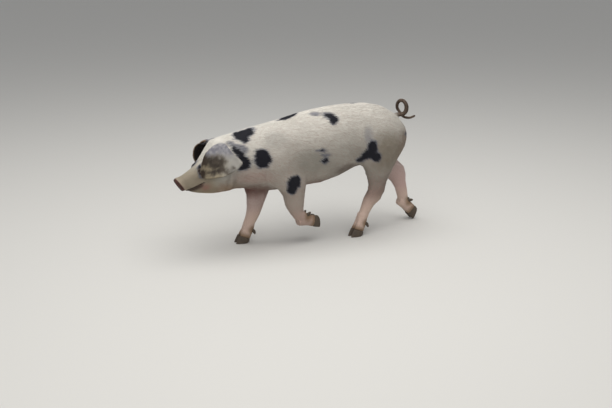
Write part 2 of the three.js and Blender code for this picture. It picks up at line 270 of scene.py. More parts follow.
# muscle, bone and folds of the body: centre and reach in x (left side), y and z, and height
BODY_FORMS = (
    ((0.092, -0.235, 0.47), (0.05, 0.024, 0.06), 0.003),  # shoulder blade
    ((0.1, -0.17, 0.48), (0.05, 0.026, 0.05), -0.0022),
    ((0.12, -0.065, 0.39), (0.06, 0.03, 0.08), -0.003),  # behind the shoulder
    ((0.11, 0.185, 0.455), (0.04, 0.04, 0.05), -0.0036),  # hollow of the flank
    ((0.07, 0.27, 0.56), (0.034, 0.04, 0.034), 0.0028),  # hip bone
    ((0.11, 0.4, 0.42), (0.05, 0.05, 0.07), 0.0026),  # ham
    ((0.06, 0.44, 0.5), (0.034, 0.03, 0.03), -0.0022),
    ((0.058, -0.44, 0.32), (0.03, 0.036, 0.03), 0.0034),  # jowl
    ((0.074, -0.398, 0.35), (0.04, 0.009, 0.06), -0.0034),  # neck folds
    ((0.078, -0.362, 0.345), (0.04, 0.009, 0.06), -0.0026),
    ((0.08, -0.318, 0.33), (0.04, 0.009, 0.05), -0.002),
    ((0.06, -0.38, 0.3), (0.04, 0.016, 0.03), 0.0024),
    ((0.042, -0.51, 0.383), (0.019, 0.019, 0.019), 0.0052),  # rim of the eye socket
    ((0.033, -0.504, 0.398), (0.014, 0.016, 0.01), 0.002),  # brow
    ((0.05, -0.522, 0.356), (0.012, 0.02, 0.01), 0.0018),  # cheek bone
    ((0.044, -0.548, 0.35), (0.012, 0.022, 0.01), -0.0016),
    ((0.062, -0.47, 0.345), (0.02, 0.026, 0.024), 0.0034),  # cheek
    ((0.03, -0.488, 0.412), (0.016, 0.02, 0.016), 0.0026),  # forehead, either side of a shallow dip
    ((0.0, -0.498, 0.406), (0.009, 0.03, 0.03), -0.0022),
    ((0.064, -0.456, 0.43), (0.016, 0.024, 0.03), -0.003),  # temple
    ((0.034, -0.535, 0.315), (0.014, 0.03, 0.01), 0.0016),  # upper lip
)
SPINE_GROOVE = ((0.0, 0.14, 0.6), (0.01, 0.26, 0.06), -0.0018)


def swell(at, out, centre, reach, height):
    away = (((at - np.array(centre)) / np.array(reach)) ** 2).sum(1)
    return at + out * (height * np.exp(-away))[:, None]


set_places(skin.data, at)
out = normals(skin.data)
for (x, y, z), reach, height in BODY_FORMS:
    for side in (1, -1):
        at = swell(at, out, (side * x, y, z), reach, height)
at = swell(at, out, *SPINE_GROOVE)
# skin creases across the legs, deepest over the hock of the leg that bears the weight
LEG_CREASES = (  # leg, the heights between which it is creased, and how deeply
    ("hindleg_left", 0.19, 0.33, 0.00080),
    ("hindleg_right", 0.24, 0.33, 0.00048),
    ("foreleg_left", 0.10, 0.22, 0.00048),
    ("foreleg_right", 0.10, 0.20, 0.00040),
)
CREASE_FADE = 0.03
wave = np.sin(at[:, 2] / 0.0030 + 3 * np.sin(at[:, 1] / 0.021) + 2 * np.sin(at[:, 0] / 0.017))
for leg, low, high, crease in LEG_CREASES:
    on_leg = np.isin(nodes_at, [flesh.index(leg + "_upper"), flesh.index(leg + "_lower")])
    here = relax(on_leg.astype(float)[:, None], ends, 0.7, 20)[:, 0]
    here *= ramp(low, low + CREASE_FADE, at[:, 2]) * ramp(high, high - CREASE_FADE, at[:, 2])
    at = at + out * (here * crease * wave)[:, None]
# the leaves of the ears ripple a little from front to back
EAR_RIPPLE = 0.0012
ripple = np.sin(at[:, 1] / 0.0080 + at[:, 2] / 0.020)
ripple += 0.6 * np.sin(at[:, 1] / 0.0043 - at[:, 2] / 0.013)
at[:, 0] += np.sign(at[:, 0]) * EAR_RIPPLE * ripple * share[:, EAR] ** 2
set_places(skin.data, at)

# the skin is thinned out behind the head, least on the feet and the tail
thinned = skin.vertex_groups.new(name="thinned")
weight = np.clip((at[:, 1] - FRONT_KEPT) / 0.06, 0, 1)
weight = np.minimum(weight, 1 - 0.8 * share[:, FOOT] - 0.8 * share[:, TAIL])
for tenth in range(11):
    chosen = np.where(np.round(weight * 10) == tenth)[0].tolist()
    thinned.add(chosen, max(tenth / 10, 0.001), "REPLACE")
thinning = skin.modifiers.new("thinning", "DECIMATE")
thinning.ratio = THINNED_TO
thinning.vertex_group = "thinned"
thinning.vertex_group_factor = 1.0
apply_all(skin)

# The face: round nostrils in a flat disc with a raised rim, a lip line up each side of the jaw, and
# lids drawn over the eyeballs. The mesh is divided where these are small and then moved into shape.
EYE_X, EYE_Y, EYE_Z, EYE_RADIUS = 0.0386, -0.5071, 0.3792, 0.0113
EYE_AXIS = Vector((0.74, -0.61, 0.28)).normalized()
DISC, DISC_RADIUS = np.array((0.0, -0.5954, 0.3195)), 0.0315
DISC_OUT = np.array((0.0, -0.817, -0.577))
DISC_UP = np.array((0.0, -0.577, 0.817))
LIP_LINE = ((-0.573, 0.293), (-0.56, 0.301), (-0.54, 0.311), (-0.516, 0.324), (-0.498, 0.3325))  # y, z
NOSTRIL_ASIDE, NOSTRIL_UP, NOSTRIL_DEEP = 0.0108, 0.0010, 0.0100
NOSTRIL_WIDE, NOSTRIL_TALL, LEAN_COS, LEAN_SIN = 0.0050, 0.0068, 0.94, 0.34


def divide(obj, chosen):
    form = bmesh.new()
    form.from_mesh(obj.data)
    form.verts.ensure_lookup_table()
    near = chosen(np.array([v.co for v in form.verts]))
    edges = [e for e in form.edges if near[e.verts[0].index] and near[e.verts[1].index]]
    bmesh.ops.subdivide_edges(form, edges=edges, cuts=1, use_grid_fill=True)
    bmesh.ops.triangulate(form, faces=[f for f in form.faces if len(f.verts) > 3])
    form.to_mesh(obj.data)
    form.free()


def eye_centre(side):
    return np.array((side * EYE_X, EYE_Y, EYE_Z))


def eye_axes(side):
    """Ways out of the eye, along the slit of the lids down to the snout, and up across the slit."""
    axis = np.array(EYE_AXIS) * (side, 1, 1)
    slit = np.array((0.0, -0.86, -0.51))
    slit -= axis * (slit @ axis)
    slit /= np.linalg.norm(slit)
    upward = np.cross(axis, slit)
    return axis, slit, upward * np.sign(upward[2])


def off_eyes(at):
    """Distance from the middle of the nearer eye."""
    return np.minimum(*(np.linalg.norm(at - eye_centre(side), axis=1) for side in (1, -1)))


def off_lip(at):
    """Distance from the lip line seen from the side, and the height above it."""
    best, above = np.full(len(at), 1.0), np.zeros(len(at))
    for (y0, z0), (y1, z1) in zip(LIP_LINE, LIP_LINE[1:]):
        run = np.array((y1 - y0, z1 - z0))
        t = np.clip(((at[:, 1] - y0) * run[0] + (at[:, 2] - z0) * run[1]) / (run @ run), 0, 1)
        dy, dz = at[:, 1] - y0 - t * run[0], at[:, 2] - z0 - t * run[1]
        gap = np.hypot(dy, dz)
        nearer = gap < best
        best = np.where(nearer, gap, best)
        above = np.where(nearer, np.sign(dz * run[0] - dy * run[1]) * gap, above)
    return best, above


def hump(value, middle, spread):
    return np.exp(-((value - middle) / spread) ** 2)


divide(skin, lambda at: (at[:, 1] < -0.545) | (off_eyes(at) < 0.024) | (
    (off_lip(at)[0] < 0.009) & (at[:, 1] < -0.49)))
divide(skin, lambda at: (off_eyes(at) < 0.019) | (
    (np.abs((at - DISC) @ DISC_OUT) < 0.012) & (np.abs(np.abs(at[:, 0]) - 0.0105) < 0.009)
    & (np.abs((at - DISC) @ DISC_UP) < 0.012)))

at = places(skin.data)
ends = edge_ends(skin.data)
at = relax(at, ends, 0.5 * ramp(-0.44, -0.48, at[:, [1]]), 3)

# lips: a groove along the line, the edges rolled out beside it and the lower jaw set in
set_places(skin.data, at)
out = normals(skin.data)
gap, above = off_lip(at)
fore = ramp(-0.485, -0.505, at[:, 1]) * ramp(0.004, -0.002, (at - DISC) @ DISC_OUT + 0.006)
groove = -0.0036 * hump(gap, 0, 0.0019)
rolls = 0.0012 * hump(gap, 0.0052, 0.0026)
jaw_in = -0.0016 * ramp(0.001, -0.004, above) * ramp(0.03, 0.012, gap)
at = at + out * (fore * (groove + rolls + jaw_in))[:, None]

# snout: rim, nostrils, the dip between them and creases behind the rim
rel = at - DISC
across, up, ahead = rel[:, 0], rel @ DISC_UP, rel @ DISC_OUT
round_off = np.hypot(across / DISC_RADIUS, up / DISC_RADIUS)
on_disc = ramp(-0.007, -0.003, ahead) * (round_off < 1.3)
rim = 0.0013 * hump(round_off, 0.9, 0.08)
hollow = -0.0012 * ramp(0.85, 0.4, round_off)
dip = -0.0012 * hump(across, 0, 0.0022) * ramp(0.95, 0.6, round_off)
nx, nz = np.abs(across) - NOSTRIL_ASIDE, up - NOSTRIL_UP
turned = np.hypot(
    (nx * LEAN_COS + nz * LEAN_SIN) / NOSTRIL_WIDE, (nz * LEAN_COS - nx * LEAN_SIN) / NOSTRIL_TALL)
pit = -NOSTRIL_DEEP * ramp(1.18, 0.5, turned)
flare = 0.0011 * hump(turned, 1.42, 0.22)
at = at + DISC_OUT * (on_disc * (rim + hollow + dip + pit + flare))[:, None]
nostril = on_disc * ramp(1.12, 0.8, turned)
SNOUT_CREASES = ((0.0105, 0.0013), (0.018, 0.0011), (0.027, 0.0008))  # how far back and how deep
creases = sum(-deep * hump(ahead, -back, 0.0016) for back, deep in SNOUT_CREASES)
at = at + out * (creases * ramp(-0.012, 0.006, up) * ramp(-0.04, -0.03, ahead))[:, None]

# lids: over the eyeball, open in an almond slit that slopes down towards the snout
SLIT_ALONG, SLIT_UP, SLIT_DOWN = (math.radians(angle) for angle in (46, 27, 20))
LID_THICK, LID_REACH, LID_TUCK = 0.0012, 0.016, 0.0018
for side in (1, -1):
    centre = eye_centre(side)
    axis, slit, upward = eye_axes(side)
    rel = at - centre
    radius = np.linalg.norm(rel, axis=1)
    ray = rel / radius[:, None]
    along = np.arctan2(ray @ slit, ray @ axis)
    over = np.arctan2(ray @ upward, ray @ axis)
    ahead = ray @ axis > 0.05
    opening = np.hypot(along / SLIT_ALONG, over / np.where(over > 0, SLIT_UP, SLIT_DOWN))
    opening = np.where(ahead, opening, 9.0)
    inside = EYE_RADIUS - LID_TUCK
    heavy = np.where(over > 0, 0.0009, 0.0004)
    lid = EYE_RADIUS + LID_THICK + heavy * hump(opening, 1.35, 0.3)
    fold = -0.0009 * hump(opening, 1.95, 0.16) - 0.0005 * hump(opening, 2.5, 0.14)
    blend = ramp(1.3, 2.6, opening)
    outer = np.maximum(radius, lid * (1 - blend) + radius * blend) + fold
    wanted = inside + (outer - inside) * ramp(0.88, 1.1, opening)
    wanted = np.where(ahead, wanted, np.maximum(radius, EYE_RADIUS + 0.001))
    near = radius < EYE_RADIUS + LID_REACH
    at = np.where(near[:, None], centre + ray * wanted[:, None], at)
set_places(skin.data, at)

# what the materials and the coat need to know at each place on the skin
nodes_at = nearest_nodes(at)
share = np.eye(len(REGIONS))[node_region[nodes_at]]
share = relax(share, ends, 0.6, 10)
crisp = share[:, [EAR, TAIL, SNOUT, HEAD]].sum(1)
share = relax(share, ends, (0.7 * (1 - np.clip(crisp * 4, 0, 1)))[:, None], 40)
out = normals(skin.data)
ear_side = np.where(at[:, 0] > 0, 1.0, -1.0)
from_root = np.linalg.norm(np.abs(at) - np.array((0.05, 0.416, 0.49)), axis=1)
lining = share[:, EAR] * (out[:, 0] * ear_side < -0.12) * ramp(0.024, 0.04, from_root)
lining = relax(lining[:, None], ends, 0.6, 12)[:, 0]
gap, above = off_lip(at)
# the nostrils and the lip line are painted near black: painted shade in the nostril pits and the lip
# crease
lips = np.maximum(nostril, ramp(0.0042, 0.0008, gap) * ramp(-0.484, -0.5, at[:, 1]))
mouth_pink = hump(at, (0, -0.494, 0.308), (1, 0.015, 0.016)).prod(1)
mouth_pink *= ramp(0.006, -0.002, above)
rel = at - DISC
disc = ramp(-0.0085, -0.0035, rel @ DISC_OUT) * (np.hypot(rel[:, 0], rel @ DISC_UP) < 0.04)
eye_rim = ramp(0.0175, 0.0145, off_eyes(at))
bare = np.maximum(disc, ramp(0.0168, 0.0148, off_eyes(at)))
# under the lip line the jaw is painted dark: soil and painted shade
jaw = ramp(0.001, -0.003, above) * ramp(0.028, 0.008, gap) * ramp(-0.498, -0.51, at[:, 1])
claw_tree = tree_of(closed_copy([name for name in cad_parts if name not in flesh], 0.0))
toes = np.zeros(len(at))
for i in np.where(share[:, FOOT] > 0.02)[0]:
    toes[i] = ramp(0.031, 0.004, claw_tree.find_nearest(tuple(at[i]))[3])


def carry(mesh, name, columns):
    layer = mesh.attributes.new(name, "FLOAT_VECTOR", "POINT")
    layer.data.foreach_set("vector", np.stack(columns, 1).astype(np.float32).ravel())


skin_values = {
    "root": (at[:, 0], at[:, 1], at[:, 2]),
    "legs": (share[:, UPPER], share[:, LOWER] + share[:, FOOT], toes),
    "ends": (share[:, EAR], lining, share[:, TAIL]),
    "face": (share[:, HEAD] + share[:, SNOUT], disc, lips),
    "tone": (mouth_pink, eye_rim, jaw),
}
for name, columns in skin_values.items():
    carry(skin.data, name, columns)
smooth(skin.data)

bpy.context.view_layer.objects.active = skin
skin.select_set(True)
skin.data.uv_layers.new(name="OFBake")
bpy.ops.object.mode_set(mode="EDIT")
bpy.ops.mesh.select_all(action="SELECT")
bpy.ops.uv.smart_project(angle_limit=math.radians(66), island_margin=0.0005)
bpy.ops.object.mode_set(mode="OBJECT")

# The markings that hide and hair share: black spots with a soft blue-grey rim where pale hair grows
# from black skin, soil in the coat mixed with painted shade, and the tints of legs, ears, tail and snout.
SPOTS = (  # centre, reach along x, y and z
    ((0.1, -0.257, 0.419), (0.07, 0.035, 0.038)),  # shoulder
    ((0.14, -0.119, 0.307), (0.045, 0.035, 0.033)),  # elbow
    ((0.14, -0.127, 0.282), (0.045, 0.026, 0.026)),
    ((0.031, -0.342, 0.515), (0.03, 0.021, 0.016)),  # top of the neck
    ((0.033, -0.315, 0.521), (0.03, 0.026, 0.024)),
    ((0.025, -0.288, 0.532), (0.026, 0.019, 0.019)),
    ((0.052, -0.321, 0.502), (0.026, 0.018, 0.017)),
    ((0.069, -0.374, 0.464), (0.028, 0.011, 0.013)),  # behind the ear
    ((0.074, -0.36, 0.452), (0.028, 0.014, 0.015)),
    ((0.08, -0.346, 0.436), (0.028, 0.017, 0.019)),
    ((0.086, -0.333, 0.413), (0.03, 0.019, 0.021)),
    ((0.087, -0.333, 0.395), (0.03, 0.017, 0.016)),
    ((0.086, -0.348, 0.384), (0.03, 0.015, 0.011)),
    ((0.076, 0.069, 0.574), (0.03, 0.019, 0.01)),  # back
    ((0.088, 0.084, 0.56), (0.03, 0.019, 0.02)),
    ((-0.002, -0.108, 0.564), (0.016, 0.038, 0.028)),  # top line and over to the right
    ((-0.026, -0.083, 0.562), (0.034, 0.042, 0.038)),
    ((0.13, 0.027, 0.393), (0.05, 0.015, 0.0135)),  # flank
    ((0.13, 0.008, 0.438), (0.05, 0.01, 0.003)),
    ((0.125, 0.264, 0.427), (0.06, 0.023, 0.03)),  # thigh
    ((0.122, 0.253, 0.4), (0.06, 0.02, 0.019)),
    ((0.112, 0.235, 0.388), (0.06, 0.019, 0.016)),
    ((0.106, 0.216, 0.374), (0.06, 0.019, 0.014)),
    ((0.13, 0.283, 0.383), (0.06, 0.022, 0.019)),
    ((0.088, 0.46, 0.464), (0.014, 0.007, 0.0075)),  # rump
    ((-0.074, -0.44, 0.479), (0.03, 0.019, 0.014)),  # root of the right ear
    # the black round the eyes is partly painted shade, where the front edge of the ear shades the eye
    ((0.044, -0.513, 0.385), (0.022, 0.0105, 0.026)),  # round the eyes
    ((-0.044, -0.513, 0.385), (0.022, 0.0105, 0.026)),
    ((-0.115, -0.175, 0.43), (0.06, 0.042, 0.038)),  # right side
    ((-0.11, -0.21, 0.402), (0.06, 0.026, 0.024)),
    ((-0.13, 0.06, 0.465), (0.06, 0.046, 0.034)),
    ((-0.13, 0.095, 0.442), (0.06, 0.026, 0.026)),
    ((-0.13, -0.015, 0.35), (0.06, 0.018, 0.015)),
    ((-0.12, 0.31, 0.445), (0.06, 0.037, 0.04)),
    ((-0.115, 0.355, 0.36), (0.06, 0.018, 0.016)),
    ((-0.08, -0.335, 0.445), (0.04, 0.026, 0.032)),
    ((-0.04, 0.23, 0.585), (0.034, 0.028, 0.024)),
)
SPOT_JOIN = 0.006  # how softly neighbouring spots run together
SPOT_EDGE, SLATE_RIM, SLATE_EDGE = (0.0022, -0.0022), (0.0085, 0.0010), (0.0060, -0.0040)
SLATE_SPOTS = (  # where pale hair lies over black skin
    ((0.056, -0.382, 0.488), (0.024, 0.013, 0.012)),
    ((0.068, -0.36, 0.474), (0.026, 0.018, 0.016)),
    ((0.07, -0.34, 0.464), (0.026, 0.022, 0.017)),
    ((0.016, -0.272, 0.537), (0.02, 0.016, 0.015)),
    ((0.044, 0.014, 0.581), (0.02, 0.024, 0.009)),
    ((0.125, 0.03, 0.418), (0.04, 0.02, 0.009)),
    ((-0.09, -0.26, 0.47), (0.04, 0.024, 0.02)),
)
EAR_SHADES = (  # the dark patches on the leaf of the ear
    ((0.0895, -0.511, 0.447), (0.04, 0.017, 0.023)),
    ((0.095, -0.488, 0.433), (0.05, 0.026, 0.016)),
    ((0.0958, -0.46, 0.427), (0.05, 0.033, 0.022)),
    ((0.1033, -0.462, 0.392), (0.05, 0.042, 0.011)),
    ((0.0979, -0.52, 0.385), (0.05, 0.008, 0.026)),
)


class Nodes:
    """Adds nodes to one tree. An input is given as a value or as the socket that feeds it."""

    def __init__(self, tree):
        self.tree = tree

    def feed(self, made, inputs):
        for key, value in inputs.items():
            if isinstance(value, bpy.types.NodeSocket):
                self.tree.links.new(value, made.inputs[key])
            else:
                made.inputs[key].default_value = value
        return made

    def add(self, kind, inputs=None, **settings):
        made = self.tree.nodes.new(kind)
        for key, value in settings.items():
            setattr(made, key, value)
        return self.feed(made, inputs or {})

    def math(self, operation, first, second=0.0, third=0.0):
        inputs = {0: first, 1: second, 2: third}
        return self.add("ShaderNodeMath", inputs, operation=operation).outputs[0]

    def times(self, first, second):
        return self.math("MULTIPLY", first, second)

    def less(self, first, second):
        return self.math("SUBTRACT", first, second)

    def vector(self, operation, first, second=(0, 0, 0), out=0):
        return self.add("ShaderNodeVectorMath", {0: first, 1: second}, operation=operation).outputs[out]

    def parts(self, vector):
        return self.add("ShaderNodeSeparateXYZ", {0: vector}).outputs

    def step(self, value, low, high):
        """0 below low and 1 above high, with a soft start and end."""
        inputs = {"Value": value, "From Min": low, "From Max": high}
        return self.add("ShaderNodeMapRange", inputs, interpolation_type="SMOOTHSTEP").outputs[0]

    def spread(self, value, low, high):
        """A value from 0 to 1 spread from low to high."""
        inputs = {"Value": value, "To Min": low, "To Max": high}
        return self.add("ShaderNodeMapRange", inputs).outputs[0]

    def mix(self, factor, first, second):
        return self.add("ShaderNodeMix", {0: factor, 6: first, 7: second}, data_type="RGBA").outputs[2]

    def noise(self, vector, scale, detail=2.0, rough=0.5):
        inputs = {"Vector": vector, "Scale": scale, "Detail": detail, "Roughness": rough}
        return self.add("ShaderNodeTexNoise", inputs).outputs

    def bump(self, height, strength, distance):
        inputs = {"Height": height, "Strength": strength, "Distance": distance}
        return self.add("ShaderNodeBump", inputs).outputs[0]

    def carried(self, name, out="Fac"):
        return self.add("ShaderNodeAttribute", attribute_name=name).outputs[out]

    def scaled_distance(self, place, centre, reach):
        """1 on the surface of the ellipsoid, 0 at its centre."""
        offset = self.vector("SUBTRACT", place, centre)
        scaled = self.vector("MULTIPLY", offset, tuple(1 / r for r in reach))
        return self.vector("LENGTH", scaled, out="Value")

    def spot_distance(self, place, spots):
        """The distance outside the nearest of the spots, negative inside."""
        nearest = None
        for centre, reach in spots:
            small = min(reach[1:])
            away = self.math("MULTIPLY_ADD", self.scaled_distance(place, centre, reach), small, -small)
            nearest = away if nearest is None else self.math("SMOOTH_MIN", nearest, away, SPOT_JOIN)
        return nearest


def rgb(red, green, blue):
    return (red, green, blue, 1.0)


WHITE_HAIR, FLANK_HAIR = rgb(0.76, 0.735, 0.665), rgb(0.37, 0.355, 0.31)
BLACK, SLATE = rgb(0.01, 0.01, 0.016), rgb(0.15, 0.155, 0.2)
TINT_EDGE = (1.35, 0.45)  # as shares of the reach
# soil, thin hair and painted shade, the same on both sides: how far, centre and reach, hair and hide
# colour
TINTS = (
    # painted shade behind the elbow, with soil
    (0.75, (0.13, -0.03, 0.385), (0.08, 0.095, 0.062), (0.27, 0.275, 0.235), (0.25, 0.24, 0.21)),  # elbow
    (0.45, (0.09, -0.19, 0.492), (0.055, 0.06, 0.04), (0.38, 0.37, 0.34), (0.34, 0.3, 0.265)),  # withers
    # blue-grey, partly painted shade in the hollow above the thigh
    (0.6, (0.125, 0.247, 0.478), (0.05, 0.024, 0.05), (0.29, 0.3, 0.335), (0.24, 0.24, 0.27)),  # stifle
    # soil and painted shade on the ham, which turns away from the light
    (0.85, (0.13, 0.345, 0.4), (0.08, 0.085, 0.095), (0.235, 0.205, 0.15), (0.21, 0.175, 0.13)),  # ham
    (0.8, (0.09, 0.45, 0.39), (0.095, 0.06, 0.105), (0.26, 0.195, 0.14), (0.24, 0.16, 0.12)),
    # painted shadow in the fold of the flank in front of the thigh
    (0.85, (0.098, 0.155, 0.332), (0.07, 0.062, 0.03), (0.13, 0.105, 0.09), (0.12, 0.085, 0.07)),  # flank
    (0.7, (0.1, -0.3, 0.335), (0.07, 0.1, 0.045), (0.47, 0.345, 0.3), (0.4, 0.26, 0.22)),  # neck
    # painted shade with soil under the throat, breast and belly and between the breast and the fore legs
    (0.8, (0.0, -0.42, 0.285), (0.11, 0.11, 0.05), (0.26, 0.165, 0.095), (0.21, 0.115, 0.075)),  # throat
    (0.95, (0.0, -0.27, 0.25), (0.12, 0.15, 0.052), (0.13, 0.062, 0.045), (0.125, 0.052, 0.038)),  # breast
    (0.95, (0.0, 0.04, 0.255), (0.13, 0.15, 0.052), (0.165, 0.088, 0.068), (0.155, 0.072, 0.056)),  # belly
    (0.85, (0.07, -0.27, 0.262), (0.06, 0.06, 0.032), (0.145, 0.066, 0.052), (0.13, 0.052, 0.04)),
    (0.8, (0.0, 0.48, 0.42), (0.05, 0.04, 0.11), (0.3, 0.17, 0.14), (0.26, 0.12, 0.1)),  # breech
)

markings = bpy.data.node_groups.new("Pig markings", "ShaderNodeTree")
INPUTS = ("Root", "Legs", "Ends", "Face", "Tone")
for name in INPUTS:
    markings.interface.new_socket(name, in_out="INPUT", socket_type="NodeSocketVector")
for name in ("Hair", "Hide"):
    markings.interface.new_socket(name, in_out="OUTPUT", socket_type="NodeSocketColor")
mark = Nodes(markings)
mix, step, times = mark.mix, mark.step, mark.times
given = mark.add("NodeGroupInput").outputs
root = given["Root"]
place, legs, ends_of, face, tone = (mark.parts(given[name]) for name in INPUTS)

# the edges of spots and tints are broken up at two sizes, and the tints are the same on both sides
warped = root
for scale, detail, strength in ((38.0, 2.0, 0.026), (260.0, 1.0, 0.007)):
    push = mark.vector("SUBTRACT", mark.noise(root, scale, detail)["Color"], (0.5,) * 3)
    warped = mark.vector("ADD", warped, mark.vector("MULTIPLY", push, (strength,) * 3))
warped_at = mark.parts(warped)
mirrored = {0: mark.math("ABSOLUTE", warped_at[0]), 1: warped_at[1], 2: warped_at[2]}
mirrored = mark.add("ShaderNodeCombineXYZ", mirrored).outputs[0]
away = mark.spot_distance(warped, SPOTS)
black = step(away, *SPOT_EDGE)
under_hair = step(mark.spot_distance(warped, SLATE_SPOTS), *SLATE_EDGE)
slate = mark.math("MAXIMUM", step(away, *SLATE_RIM), under_hair)

cloud = mark.noise(root, 9.0, 3.0, 0.6)["Fac"]
mottle = mark.noise(root, 45.0, 3.0, 0.6)["Fac"]
# the coat greys from the white back down the sides to FLANK_HAIR: partly soil, partly painted shade where
# the sides turn away from the light overhead
ahead = mark.math("MAXIMUM", mark.less(-0.1, place[1]), 0.0)
flank = step(mark.math("MULTIPLY_ADD", ahead, 0.3, place[2]), 0.555, 0.395)
grey = mark.math("MULTIPLY_ADD", step(cloud, 0.4, 0.7), 0.18, times(flank, 0.82))
tint_patches = mark.math("MULTIPLY_ADD", step(mottle, 0.25, 0.65), 0.35, 0.65)
colours = {
    "Hair": mix(grey, WHITE_HAIR, FLANK_HAIR),
    "Hide": mix(grey, rgb(0.6, 0.52, 0.455), rgb(0.34, 0.285, 0.245)),
}


def lay(mask, strength, **over):
    """Lays the colours over the hair, the hide or both, as far as the mask and strength say."""
    mask = times(mask, strength)
    for what, colour in over.items():
        colours[what] = mix(mask, colours[what], colour)


for strength, centre, reach, hair, hide in TINTS:
    near = step(mark.scaled_distance(mirrored, centre, reach), *TINT_EDGE)
    lay(times(near, tint_patches), strength, Hair=rgb(*hair), Hide=rgb(*hide))

# the face is tan with a white ridge down the forehead, dark under the lip with soil and painted shade, and
# pink at its corner
ridge = step(mark.math("ABSOLUTE", place[0]), 0.062, 0.03)
ridge = times(ridge, step(place[2], 0.362, 0.42))
cheek = times(times(face[0], mark.less(1.0, ridge)), step(place[1], -0.428, -0.49))
lay(cheek, 0.8, Hair=rgb(0.31, 0.26, 0.175), Hide=rgb(0.3, 0.235, 0.165))
lay(tone[2], 0.92, Hair=rgb(0.062, 0.04, 0.029), Hide=rgb(0.055, 0.034, 0.026))
lay(tone[0], 0.6, Hair=rgb(0.33, 0.15, 0.125))

# the legs: greyer on the left hind one, dark at the top of the right fore one with dirt and painted shade,
# brown at the toes
left_leg = step(place[0], -0.01, 0.01)
hind_leg = step(place[1], 0.0, 0.1)
leg_hair = mix(left_leg, rgb(0.68, 0.5, 0.47), rgb(0.42, 0.33, 0.28))
worn_leg = times(times(left_leg, hind_leg), step(place[2], 0.165, 0.205))
leg_hair = mix(times(worn_leg, 0.85), leg_hair, rgb(0.16, 0.13, 0.108))
left_fore = times(left_leg, mark.less(1.0, hind_leg))
pale = times(step(place[2], 0.19, 0.12), mark.math("MULTIPLY_ADD", left_fore, -0.85, 1.0))
leg_hair = mix(pale, leg_hair, rgb(0.74, 0.6, 0.5))
# painted shade with dirt at the top of the right fore leg, under the body
armpit_shade_and_dirt = mark.less(1.0, mark.math("MAXIMUM", left_leg, hind_leg))
armpit_shade_and_dirt = times(armpit_shade_and_dirt, step(place[2], 0.2, 0.25))
leg_hair = mix(times(armpit_shade_and_dirt, 0.85), leg_hair, rgb(0.155, 0.07, 0.06))
knee = mark.math("MAXIMUM", legs[1], times(legs[0], step(place[2], 0.34, 0.27)))
lay(knee, 0.9, Hair=leg_hair, Hide=mix(0.5, leg_hair, rgb(0.44, 0.25, 0.21)))
lay(legs[2], 0.9, Hair=rgb(0.25, 0.165, 0.09), Hide=rgb(0.2, 0.125, 0.07))

# the ears: dark mottled patches, blue-grey at the root, tan below, paler at the rear corner, and
# black-brown inside a tan rim
ear = mix(step(mottle, 0.35, 0.6), rgb(0.38, 0.37, 0.375), rgb(0.2, 0.195, 0.225))
ear_low = mix(step(place[1], -0.47, -0.385), rgb(0.37, 0.31, 0.215), rgb(0.46, 0.44, 0.4))
ear = mix(step(place[2], 0.47, 0.425), ear, ear_low)
ear_dark = mark.spot_distance(mirrored, EAR_SHADES)
ear_dark = mark.math("MULTIPLY_ADD", mark.less(mottle, 0.5), 0.05, ear_dark)
ear_brown = mix(step(mottle, 0.36, 0.62), rgb(0.095, 0.076, 0.058), rgb(0.04, 0.032, 0.027))
front_edge = times(step(place[1], -0.48, -0.515), 0.8)
ear_brown = mix(front_edge, ear_brown, rgb(0.036, 0.022, 0.015))
ear = mix(step(ear_dark, 0.017, -0.007), ear, ear_brown)
ear = mix(step(ends_of[1], 0.36, 0.52), ear, rgb(0.34, 0.235, 0.155))
ear = mix(step(ends_of[1], 0.78, 0.96), ear, rgb(0.016, 0.012, 0.011))
lay(ends_of[0], 1.0, Hair=ear, Hide=ear)
tail = mix(step(mottle, 0.35, 0.62), rgb(0.16, 0.115, 0.085), rgb(0.075, 0.052, 0.038))
lay(ends_of[2], 1.0, Hair=tail, Hide=tail)

# bare skin on the disc of the snout and the lips, darkened partly as painted shade, then the spots over
# all, and the lids over those
# the disc is dark brown, darkened partly as painted shade where it faces down, away from the light
disc_brown = mix(step(mottle, 0.3, 0.65), rgb(0.09, 0.036, 0.028), rgb(0.04, 0.017, 0.013))
lay(face[1], 1.0, Hide=disc_brown)
lay(tone[0], 0.8, Hide=rgb(0.34, 0.145, 0.125))
# painted shade, near black, in the nostrils and along the lip crease
lay(face[2], 1.0, Hide=rgb(0.022, 0.012, 0.01))
lay(slate, 0.75, Hair=SLATE)
lay(slate, 1.0, Hide=rgb(0.085, 0.085, 0.105))
lay(black, 1.0, Hair=BLACK, Hide=BLACK)
lay(tone[1], 0.85, Hide=rgb(0.075, 0.05, 0.042))
mark.add("NodeGroupOutput", colours)


def new_material(name):
    made = bpy.data.materials.new(name)
    made.use_nodes = True
    return made, Nodes(made.node_tree), made.node_tree.nodes["Principled BSDF"]


def marked_material(name):
    """A material with the markings in it, placed by what the piece carries at each root."""
    made, build, shader = new_material(name)
    carried = {key.capitalize(): build.carried(key, "Vector") for key in skin_values}
    marks = build.add("ShaderNodeGroup", carried, node_tree=markings).outputs
    return made, build, shader, marks, carried["Root"]


hide_material, build, shader, marks, root_at = marked_material("Hide")
pores = build.noise(root_at, 900.0, 3.0, 0.6)["Fac"]
wrinkle = build.noise(root_at, 180.0, 4.0, 0.55)["Fac"]
height = build.math("ADD", build.times(pores, 0.35), wrinkle)
build.feed(shader, {
    "Base Color": marks["Hide"],
    "Roughness": build.spread(wrinkle, 0.55, 0.85),
    "Normal": build.bump(height, 0.55, 0.0012),
    "Specular IOR Level": 0.3,
})
skin.data.materials.clear()
skin.data.materials.append(hide_material)
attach(skin, "root")
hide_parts(*skin_nodes)

